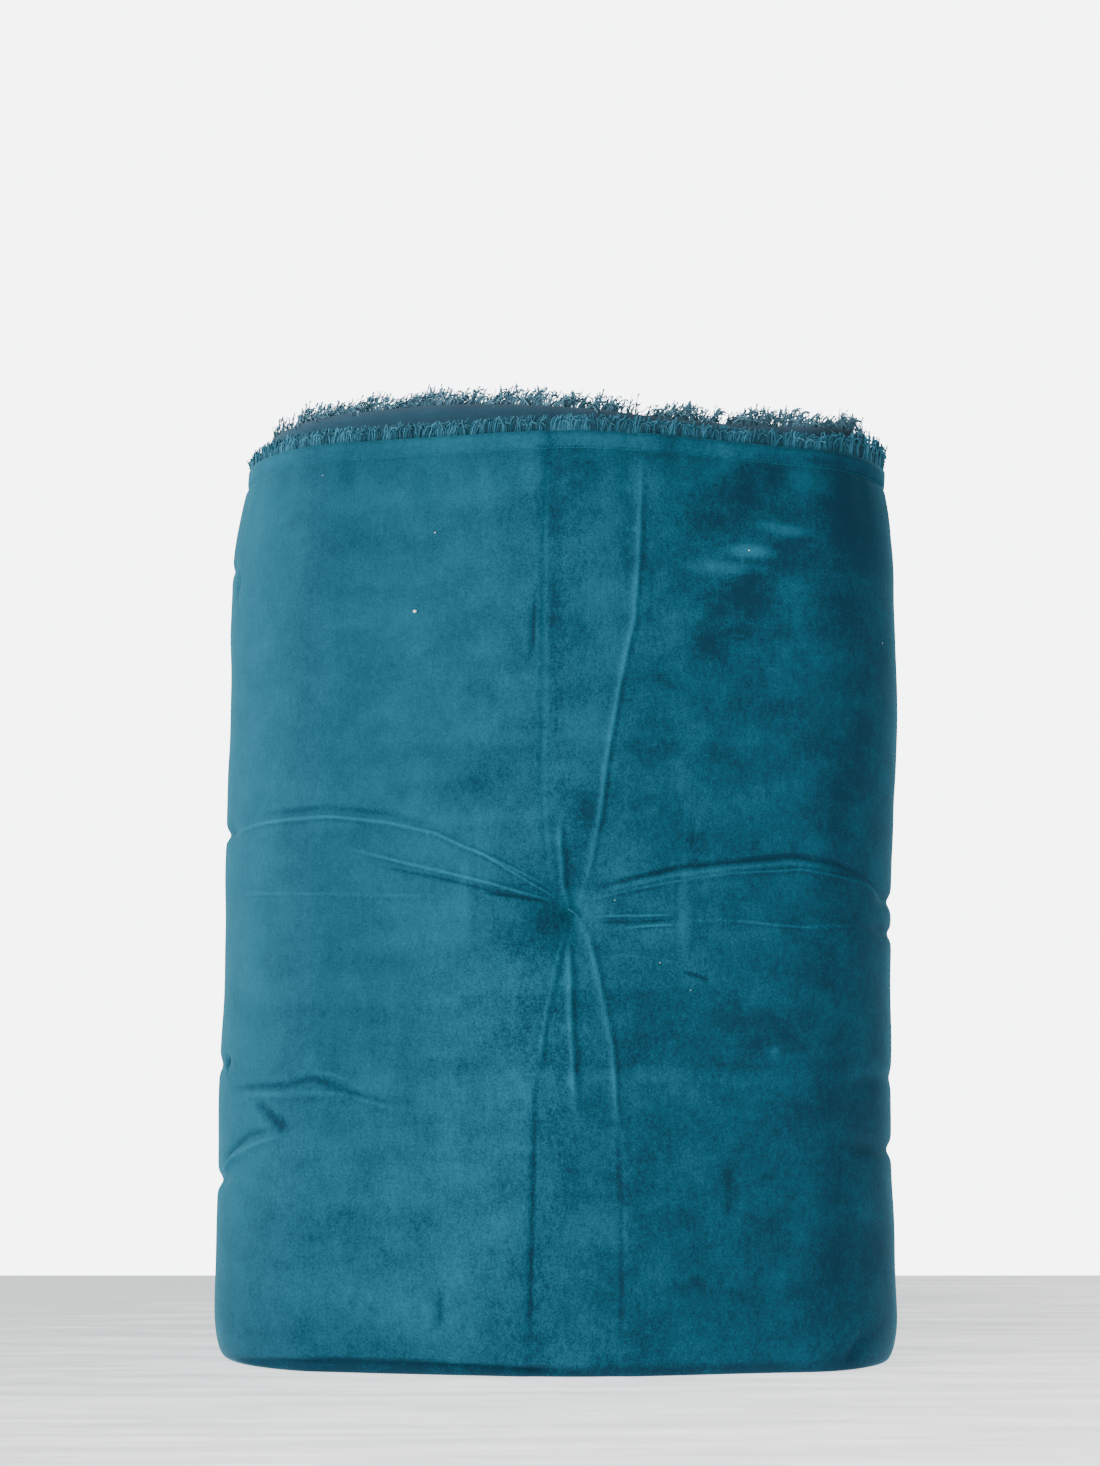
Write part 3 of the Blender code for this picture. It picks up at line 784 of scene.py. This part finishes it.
def fringe_tree():
    """Yarns along an edge in strands that lean together, some missing; denser in front."""
    tree, given, end = geometry_tree("frayed_edge", (*FRONT_FRINGE, "Material"))
    points = spread_points(tree, given)
    position = tree.add("GeometryNodeInputPosition").outputs[0]
    moved = tree.vector("ADD", position, tree.joined(X=given["Seed"], Z=given["Seed"]))
    clump = tree.uneven(tree.noise(moved, given["Clumps"], 2.0)["Fac"])
    broad = tree.noise(moved, BROAD_SCALE, 1.0)["Fac"]
    split = tree.uneven(tree.noise(moved, given["Strands"], 0.0)["Fac"])
    strand = tree.plus(tree.times(split, STRAND_CONTRAST), 0.5, clamp=True)
    # Each yarn's own tone, with the fringe's painted light added.
    named = mark_points(tree, points["Points"], "strand", tree.plus(strand, given["Painted Light"]))

    bare = tree.math("LESS_THAN", broad, given["Gaps"])
    chance = tree.random("BOOLEAN", Probability=BARE_CHANCE, Seed=given["Seed"])
    places = tree.add("ShaderNodeSeparateXYZ", {0: position}).outputs
    rear = tree.math("GREATER_THAN", places["Y"], REAR_STARTS)
    spared = tree.random("BOOLEAN", Probability=given["Rear Share"], Seed=5)
    dropped = tree.times(rear, tree.minus(1.0, spared))
    gone = tree.math("MAXIMUM", tree.times(bare, chance), dropped)
    kept = tree.add("GeometryNodeDeleteGeometry", {"Geometry": named, "Selection": gone},
                    domain="POINT")

    variants = tree.add("GeometryNodeJoinGeometry")
    radius = tree.math("DIVIDE", given["Yarn"], given["Length"])
    for bend, low in YARN_BENDS:
        shape = yarn_shape(tree, bend, tree.times(given["Undergrowth"], low), radius)
        instance = tree.add("GeometryNodeGeometryToInstance", {"Geometry": shape})
        tree.link(instance.outputs[0], variants.inputs[0])

    swing = tree.times(clump, given["Lean"])
    swept = tree.times(tree.times(broad, 2.0), given["Sweep"])
    jitter = tree.random("FLOAT_VECTOR", Min=[-turn for turn in JITTER], Max=JITTER,
                         Seed=given["Seed"])
    turn = tree.vector("ADD", jitter, tree.joined(X=0.0, Y=tree.plus(swing, swept)))
    rotation = turned_along(tree, points["Tangent"], turn)

    varied = tree.random("FLOAT", Min=-1.0, Max=1.0, Seed=given["Seed"])
    change = tree.times(tree.plus(varied, tree.times(clump, 4.0)), given["Uneven"])
    corner = tree.add("ShaderNodeMapRange", {
        "Value": places["X"], "From Min": CORNER[0], "From Max": CORNER[1], "To Min": CORNER[2],
        "To Max": given["Corner"]}).outputs[0]
    length = tree.times(given["Length"], tree.plus(change, corner))
    pick = tree.random("INT", Min=0, Max=len(YARN_BENDS) - 1, Seed=given["Seed"])
    placed = tree.add("GeometryNodeInstanceOnPoints", {
        "Points": kept.outputs["Geometry"], "Instance": variants.outputs[0], "Pick Instance": True,
        "Instance Index": pick, "Rotation": rotation,
        "Scale": tree.joined(X=given["Length"], Y=given["Length"], Z=length)})
    real = tree.add("GeometryNodeRealizeInstances", {"Geometry": placed.outputs[0]})

    tip = tree.add("GeometryNodeInputNamedAttribute", {"Name": "tip"}, data_type="FLOAT")
    curl = tree.noise(moved, given["Curl Scale"], 1.0)["Color"]
    amount = tree.times(tip.outputs["Attribute"], tree.times(given["Length"], given["Curl"]))
    offset = tree.add("ShaderNodeVectorMath", {
        0: tree.vector("SUBTRACT", curl, (0.5, 0.5, 0.5)), "Scale": amount}, operation="SCALE")
    curled = tree.add("GeometryNodeSetPosition", {"Geometry": real.outputs[0],
                                                 "Offset": offset.outputs[0]})
    return finish_tree(tree, curled.outputs[0], given, end)


def stitch_tree():
    """Short stitches that lie end to end along a line."""
    tree, given, end = geometry_tree("running_stitch", (*STITCHES, "Material"))
    points = spread_points(tree, given)
    arc = tree.add("GeometryNodeCurveQuadraticBezier", {
        "Resolution": 4, "Start": (-0.36, 0, -0.10), "Middle": (0, 0, 0.16),
        "End": (0.36, 0, -0.10)})
    radius = tree.math("DIVIDE", given["Thread"], given["Spacing"])
    stitch = tube_along(tree, arc.outputs["Curve"], 5, radius)
    placed = tree.add("GeometryNodeInstanceOnPoints", {
        "Points": points["Points"], "Instance": stitch,
        "Rotation": turned_along(tree, points["Tangent"], (-math.pi / 2, 0, 0)),
        "Scale": tree.joined(X=given["Spacing"], Y=given["Spacing"], Z=given["Spacing"])})
    real = tree.add("GeometryNodeRealizeInstances", {"Geometry": placed.outputs[0]})
    return finish_tree(tree, real.outputs[0], given, end)


def grow_along(name, path, group, values):
    """Run a geometry tree along a path and keep the result as a plain mesh."""
    guide = bpy.data.meshes.new(name + "_guide")
    count = len(path)
    guide.from_pydata([tuple(p) for p in path], [(i, i + 1) for i in range(count - 1)], [])
    carrier = put(name + "_guide", guide)
    modifier = carrier.modifiers.new("grow", "NODES")
    modifier.node_group = group
    for socket in group.interface.items_tree:
        if socket.item_type == "SOCKET" and socket.in_out == "INPUT" and socket.name in values:
            modifier[socket.identifier] = values[socket.name]
    depsgraph = bpy.context.evaluated_depsgraph_get()
    mesh = bpy.data.meshes.new_from_object(carrier.evaluated_get(depsgraph))
    bpy.data.objects.remove(carrier)
    bpy.data.meshes.remove(guide)
    mesh.name = name
    mesh.shade_smooth()
    return put(name, mesh)


def edge_path(table, edge, sign):
    """The line along a long edge that the yarns stand on."""
    hem = OUTSIDE - HEM_OUTSIDE - HEM_THICK / 2
    n = np.full((len(table), 1), sign * hem)
    return place(table, n, edge[:, None] - FRINGE_DROP)[:, 0]


# ----------------------------------------------------------------- materials

def new_material(name, settings):
    material = bpy.data.materials.new(name)
    material.use_nodes = True
    tree = Tree(material.node_tree)
    shader = material.node_tree.nodes["Principled BSDF"]
    for key, value in settings.items():
        shader.inputs[key].default_value = value
    return material, tree, shader


def colour_mix(tree, share, dark, light):
    node = tree.add("ShaderNodeMix", {0: share, 6: (*dark, 1.0), 7: (*light, 1.0)},
                    data_type="RGBA")
    return node.outputs[2]


def object_place(tree):
    return tree.add("ShaderNodeTexCoord").outputs["Object"]


def stretched(tree, place_on, scale):
    return tree.add("ShaderNodeMapping", {"Vector": place_on, "Scale": scale}).outputs[0]


def attribute(tree, name):
    return tree.add("ShaderNodeAttribute", attribute_name=name).outputs["Fac"]


def add_bump(tree, shader, strength, distance, height):
    bump = tree.add("ShaderNodeBump", {"Strength": strength, "Distance": distance,
                                      "Height": height})
    tree.link(bump.outputs["Normal"], shader.inputs["Normal"])


def mottle_group():
    """Uneven tone at a chosen scale, with level streaks, a crumb and a fine speckle in it."""
    group = bpy.data.node_groups.new("cloth_mottle", "ShaderNodeTree")
    for label, default in (("Scale", 20.0), ("Streaks", 0.3), ("Crumb", 0.0),
                           ("Speckle Scale", 600.0), ("Speckle", 0.3)):
        socket = group.interface.new_socket(label, in_out="INPUT", socket_type="NodeSocketFloat")
        socket.default_value = default
    group.interface.new_socket("Tone", in_out="OUTPUT", socket_type="NodeSocketFloat")
    tree = Tree(group)
    given = tree.add("NodeGroupInput").outputs
    end = tree.add("NodeGroupOutput")
    place_on = object_place(tree)
    level = stretched(tree, place_on, (0.22, 0.22, 1.6))
    tall = stretched(tree, place_on, (1.4, 1.4, 0.7))
    tone = tree.noise(place_on, given["Scale"], 7.0, 0.6)["Fac"]
    for part, share in ((tree.noise(level, given["Scale"], 4.0, 0.6), "Streaks"),
                        (tree.noise(tall, 190.0, 3.0, 0.65), "Crumb"),
                        (tree.noise(place_on, given["Speckle Scale"], 2.0, 0.7), "Speckle")):
        tone = tree.plus(tone, tree.times(tree.uneven(part["Fac"]), given[share]))
    tree.link(tone, end.inputs["Tone"])
    return group


def mottled(tree, mottle, scale, streaks, fine, speckle, crumb=0.0):
    return tree.add("ShaderNodeGroup", {
        "Scale": scale, "Streaks": streaks, "Crumb": crumb, "Speckle Scale": fine,
        "Speckle": speckle}, node_tree=mottle).outputs["Tone"]


def velvet_material(mottle):
    material, tree, shader = new_material("teal_velvet", {
        "Roughness": 0.85, "Specular IOR Level": 0.12, "Sheen Weight": 0.5,
        "Sheen Roughness": 0.33, "Sheen Tint": (0.22, 0.70, 0.88, 1.0)})
    tone = mottled(tree, mottle, 30.0, 0.38, 640.0, 1.1, crumb=0.55)
    uneven = tree.times(tree.uneven(tone), attribute(tree, "worn"))
    # The nap attribute carries the pile's lie together with painted light and shade, so this colour
    # holds painted highlights and shade.
    share = tree.plus(tree.times(uneven, 1.15), attribute(tree, "nap_and_shade"), clamp=True)
    colour = colour_mix(tree, share, (0.0038, 0.030, 0.055), (0.0185, 0.158, 0.232))
    tree.link(colour, shader.inputs["Base Color"])
    pile = tree.noise(object_place(tree), 900.0, 2.0)
    add_bump(tree, shader, 0.35, 0.0008, pile["Fac"])
    return material


def cotton_material(mottle):
    material, tree, shader = new_material("slate_cotton", {
        "Roughness": 0.9, "Specular IOR Level": 0.2, "Sheen Weight": 0.15})
    tone = mottled(tree, mottle, 40.0, 0.2, 900.0, 0.6)
    colour = colour_mix(tree, tone, (0.006, 0.034, 0.060), (0.026, 0.092, 0.142))
    tree.link(colour, shader.inputs["Base Color"])
    place_on = object_place(tree)
    weave = [tree.add("ShaderNodeTexWave", {"Vector": place_on, "Scale": 420.0, "Distortion": 0.6},
                      bands_direction=direction).outputs["Fac"] for direction in ("X", "Z")]
    add_bump(tree, shader, 0.3, 0.0004, tree.times(*weave))
    return material


def yarn_material(mottle, name, dark, light):
    material, tree, shader = new_material(name, {
        "Roughness": 0.85, "Specular IOR Level": 0.2, "Sheen Weight": 0.15,
        "Sheen Roughness": 0.5, "Sheen Tint": (0.4, 0.8, 0.9, 1.0)})
    tone = mottled(tree, mottle, 700.0, 0.0, 1500.0, 0.4)
    uneven = tree.plus(tree.times(tree.uneven(tone), 0.7),
                       tree.times(attribute(tree, "strand"), 0.75))
    # Towards its tip a yarn is painted lighter, a painted highlight where the fringe's top is lit.
    share = tree.plus(tree.times(attribute(tree, "tip"), 0.38), uneven, clamp=True)
    tree.link(colour_mix(tree, share, dark, light), shader.inputs["Base Color"])
    return material


def thread_material(mottle):
    material, tree, shader = new_material("teal_thread", {
        "Roughness": 0.8, "Specular IOR Level": 0.2})
    tone = mottled(tree, mottle, 300.0, 0.0, 3000.0, 0.5)
    colour = colour_mix(tree, tone, (0.006, 0.070, 0.110), (0.024, 0.170, 0.240))
    tree.link(colour, shader.inputs["Base Color"])
    return material


def lint_material(mottle):
    material, tree, shader = new_material("white_lint", {"Roughness": 0.95})
    tone = mottled(tree, mottle, 900.0, 0.0, 4000.0, 0.5)
    colour = colour_mix(tree, tone, (0.55, 0.60, 0.62), (0.90, 0.92, 0.92))
    tree.link(colour, shader.inputs["Base Color"])
    return material


def floor_material():
    """The floor's pale boards with a long grain; they glow as a stand-in for light, and painted shade
    makes them a little darker to the left and far away.
    """
    material, tree, shader = new_material("pale_boards", {
        "Roughness": 0.75, "Specular IOR Level": 0.3, "Emission Strength": 1.68})
    place_on = object_place(tree)
    grain = tree.noise(stretched(tree, place_on, (1.5, 14.0, 1.0)), 3.0, 8.0, 0.65)["Fac"]
    streaks = tree.times(tree.minus(grain, 0.38), 3.6, clamp=True)
    spot = tree.add("ShaderNodeSeparateXYZ", {0: place_on}).outputs
    grained = tree.plus(tree.times(streaks, 0.5), 0.20)
    # Painted shade: darker to the left and farther back.
    across = tree.plus(grained, tree.times(spot["X"], 0.65))
    share = tree.minus(across, tree.times(spot["Y"], 0.7))
    colour = colour_mix(tree, share, (0.45, 0.46, 0.47), (0.97, 0.98, 0.99))
    tree.link(colour, shader.inputs["Base Color"])
    # The boards glow in their own colour, a stand-in for light.
    tree.link(colour, shader.inputs["Emission Color"])
    return material


# ------------------------------------------------------------ small pieces

def face_point(quilt_table, along, u, z, stand):
    """A point on the front's velvet at a place on the face."""
    order = np.argsort(along)
    rows = np.array([np.interp(u, along[order], quilt_table[order, k]) for k in range(5)])[None]
    rows[0, 2:4] /= np.hypot(*rows[0, 2:4])
    edge = front_edge(rows[:, 0])
    n = velvet_n(z, edge, 1.0) + relief(np.array([u]), np.array([z]), edge) + stand
    rows[0, 4] = FRONT
    return place(rows, n[:, None], np.array([[z]]))[0, 0]


# Specks of lint: place on the face and radius.
LINT = ((-0.109, 0.561, 0.0016), (-0.095, 0.622, 0.0006), (-0.184, 0.673, 0.0005),
        (-0.194, 0.308, 0.0007), (-0.193, 0.253, 0.0006), (0.042, 0.341, 0.0004),
        (0.076, 0.295, 0.0004), (0.099, 0.275, 0.0004), (0.139, 0.609, 0.0006),
        (0.252, 0.546, 0.0006))

LINT_STANDS = 0.3       # how far the middle of a speck is off the velvet, in radii
LINT_UNEVEN = 0.35
LINT_FLAT = (1.0, 0.6, 0.9)


def make_lint(table, along, material):
    body = bmesh.new()
    for u, z, radius in LINT:
        spot = Vector(face_point(table, along, u, z, radius * LINT_STANDS))
        made = bmesh.ops.create_icosphere(body, subdivisions=1, radius=radius)
        for vertex in made["verts"]:
            wobble = 1 + LINT_UNEVEN * noise.noise(vertex.co * 900 + spot * 50)
            vertex.co = vertex.co * Vector(LINT_FLAT) * wobble + spot
    mesh = bpy.data.meshes.new("lint")
    body.to_mesh(mesh)
    body.free()
    mesh.materials.append(material)
    mesh.shade_smooth()
    return put("lint", mesh)


TIE_THREAD = 0.0005
TIE_LENGTH = 0.007
TIE_TURNS = ((-0.45, 0.0018), (-0.75, 0.0026))      # slope of each turn, and how far it stands out
TIE_DIVES = 0.006       # how far its ends go back in
TIE_STEPS = 8


def make_tie(table, along, material):
    """The tie of the tuft: two short turns of thread that cross in the dimple."""
    body = bmesh.new()
    for slope, out in TIE_TURNS:
        curve = bpy.data.curves.new("tie", "CURVE")
        curve.dimensions = "3D"
        curve.bevel_depth = TIE_THREAD
        curve.bevel_resolution = 2
        curve.use_fill_caps = True
        spline = curve.splines.new("POLY")
        spline.points.add(TIE_STEPS)
        for i in range(TIE_STEPS + 1):
            t = i / TIE_STEPS - 0.5
            u = TUFT[0] + TIE_LENGTH * t
            z = TUFT[1] + TIE_LENGTH * t * slope
            point = face_point(table, along, u, z, out - TIE_DIVES * t * t)
            spline.points[i].co = (*point, 1.0)
        item = put("tie_curve", curve)
        depsgraph = bpy.context.evaluated_depsgraph_get()
        mesh = bpy.data.meshes.new_from_object(item.evaluated_get(depsgraph))
        body.from_mesh(mesh)
        bpy.data.objects.remove(item)
        bpy.data.meshes.remove(mesh)
    mesh = bpy.data.meshes.new("tuft_tie")
    body.to_mesh(mesh)
    body.free()
    mesh.materials.clear()
    mesh.materials.append(material)
    mesh.shade_smooth()
    return put("tuft_tie", mesh)


# ------------------------------------------------------------------ the stage

FLOOR = (-3.0, 0.56, 3.0)           # near edge, far edge, half width
SKY = (0.93, 0.96, 1.0)
SKY_LIGHT = 0.38                    # how bright the surroundings are as light
SKY_SEEN = 6.8                      # and as the background that the camera sees
AIM = (0.0, 0.0, 0.38)
# Soft lights: name, place, size, power, colour.
LIGHTS = (("key", (-2.2, -1.1, 1.2), 1.2, 88.0, (1.0, 0.99, 0.97)),
          ("fill", (1.2, -2.4, 0.9), 1.6, 6.0, (0.95, 0.98, 1.0)))
CAMERA_AT = (-0.0093, -1.619, 0.2315)
CAMERA_UP = 8.85                    # degrees that it looks upwards
LENS = 50.0


def set_stage():
    near, far, half = FLOOR
    mesh = bpy.data.meshes.new("floor")
    corners = [(-half, near, 0), (half, near, 0), (half, far, 0), (-half, far, 0)]
    mesh.from_pydata(corners, [], [(0, 1, 2, 3)])
    mesh.materials.append(floor_material())
    put("floor", mesh)

    world = bpy.data.worlds.new("studio")
    bpy.context.scene.world = world
    world.use_nodes = True
    tree = Tree(world.node_tree)
    shade = world.node_tree.nodes["Background"]
    shade.inputs["Color"].default_value = (*SKY, 1.0)
    rays = tree.add("ShaderNodeLightPath").outputs["Is Camera Ray"]
    strength = tree.add("ShaderNodeMix", {0: rays, 2: SKY_LIGHT, 3: SKY_SEEN}, data_type="FLOAT")
    tree.link(strength.outputs[0], shade.inputs["Strength"])

    for name, location, size, power, colour in LIGHTS:
        light = bpy.data.lights.new(name, "AREA")
        light.shape = "DISK"
        light.size = size
        light.energy = power
        light.color = colour
        item = put(name, light)
        item.location = location
        towards = Vector(AIM) - Vector(location)
        item.rotation_euler = towards.to_track_quat("-Z", "Y").to_euler()

    camera = bpy.data.cameras.new("camera")
    camera.sensor_fit = "VERTICAL"
    camera.sensor_height = 36.0
    camera.lens = LENS
    item = put("camera", camera)
    item.location = CAMERA_AT
    item.rotation_euler = (math.radians(90 + CAMERA_UP), 0, 0)
    bpy.context.scene.camera = item


def main():
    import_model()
    mottle = mottle_group()
    velvet = velvet_material(mottle)
    cotton = cotton_material(mottle)
    yarn = yarn_material(mottle, "frayed_yarn", (0.006, 0.040, 0.066), (0.038, 0.170, 0.252))
    # The rear fringe gets a lighter copy of the yarn, painted light for its lit clumps.
    rear_yarn_painted_lighter = yarn_material(mottle, "frayed_rear_yarn_painted_lighter", (0.030, 0.084, 0.118), (0.130, 0.290, 0.385))
    thread = thread_material(mottle)
    table, along = wind_strip()

    quilt = make_quilt(table, along, velvet)
    backing = make_backing(table, cotton)
    fringes = fringe_tree()
    front = grow_along("front_fringe", edge_path(table, front_edge(table[:, 0]), 1), fringes,
                       {**FRONT_FRINGE, "Material": yarn})
    back = grow_along("back_fringe", edge_path(table, back_edge(table[:, 0]), -1), fringes,
                      {**BACK_FRINGE, "Material": rear_yarn_painted_lighter})
    outer = table[:, 4] >= FRONT - 1
    edge = front_edge(table[outer, 0])
    n = velvet_n(edge - HEM, edge, 1.0)[:, None] - STITCH_SUNK
    line = place(table[outer], n, (edge - HEM)[:, None])[:, 0]
    stitching = grow_along("hem_stitching", line, stitch_tree(), {**STITCHES, "Material": thread})
    tie = make_tie(table, along, thread)
    lint = make_lint(table, along, lint_material(mottle))

    for piece, name in ((quilt, "velvet"), (backing, "cotton"), (front, "yarn"), (back, "yarn"),
                        (stitching, "velvet"), (tie, "velvet"), (lint, "yarn")):
        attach(piece, "root")
    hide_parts("quilt")
    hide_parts("backing")
    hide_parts("fringe_front")
    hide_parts("fringe_back")
    set_stage()


main()
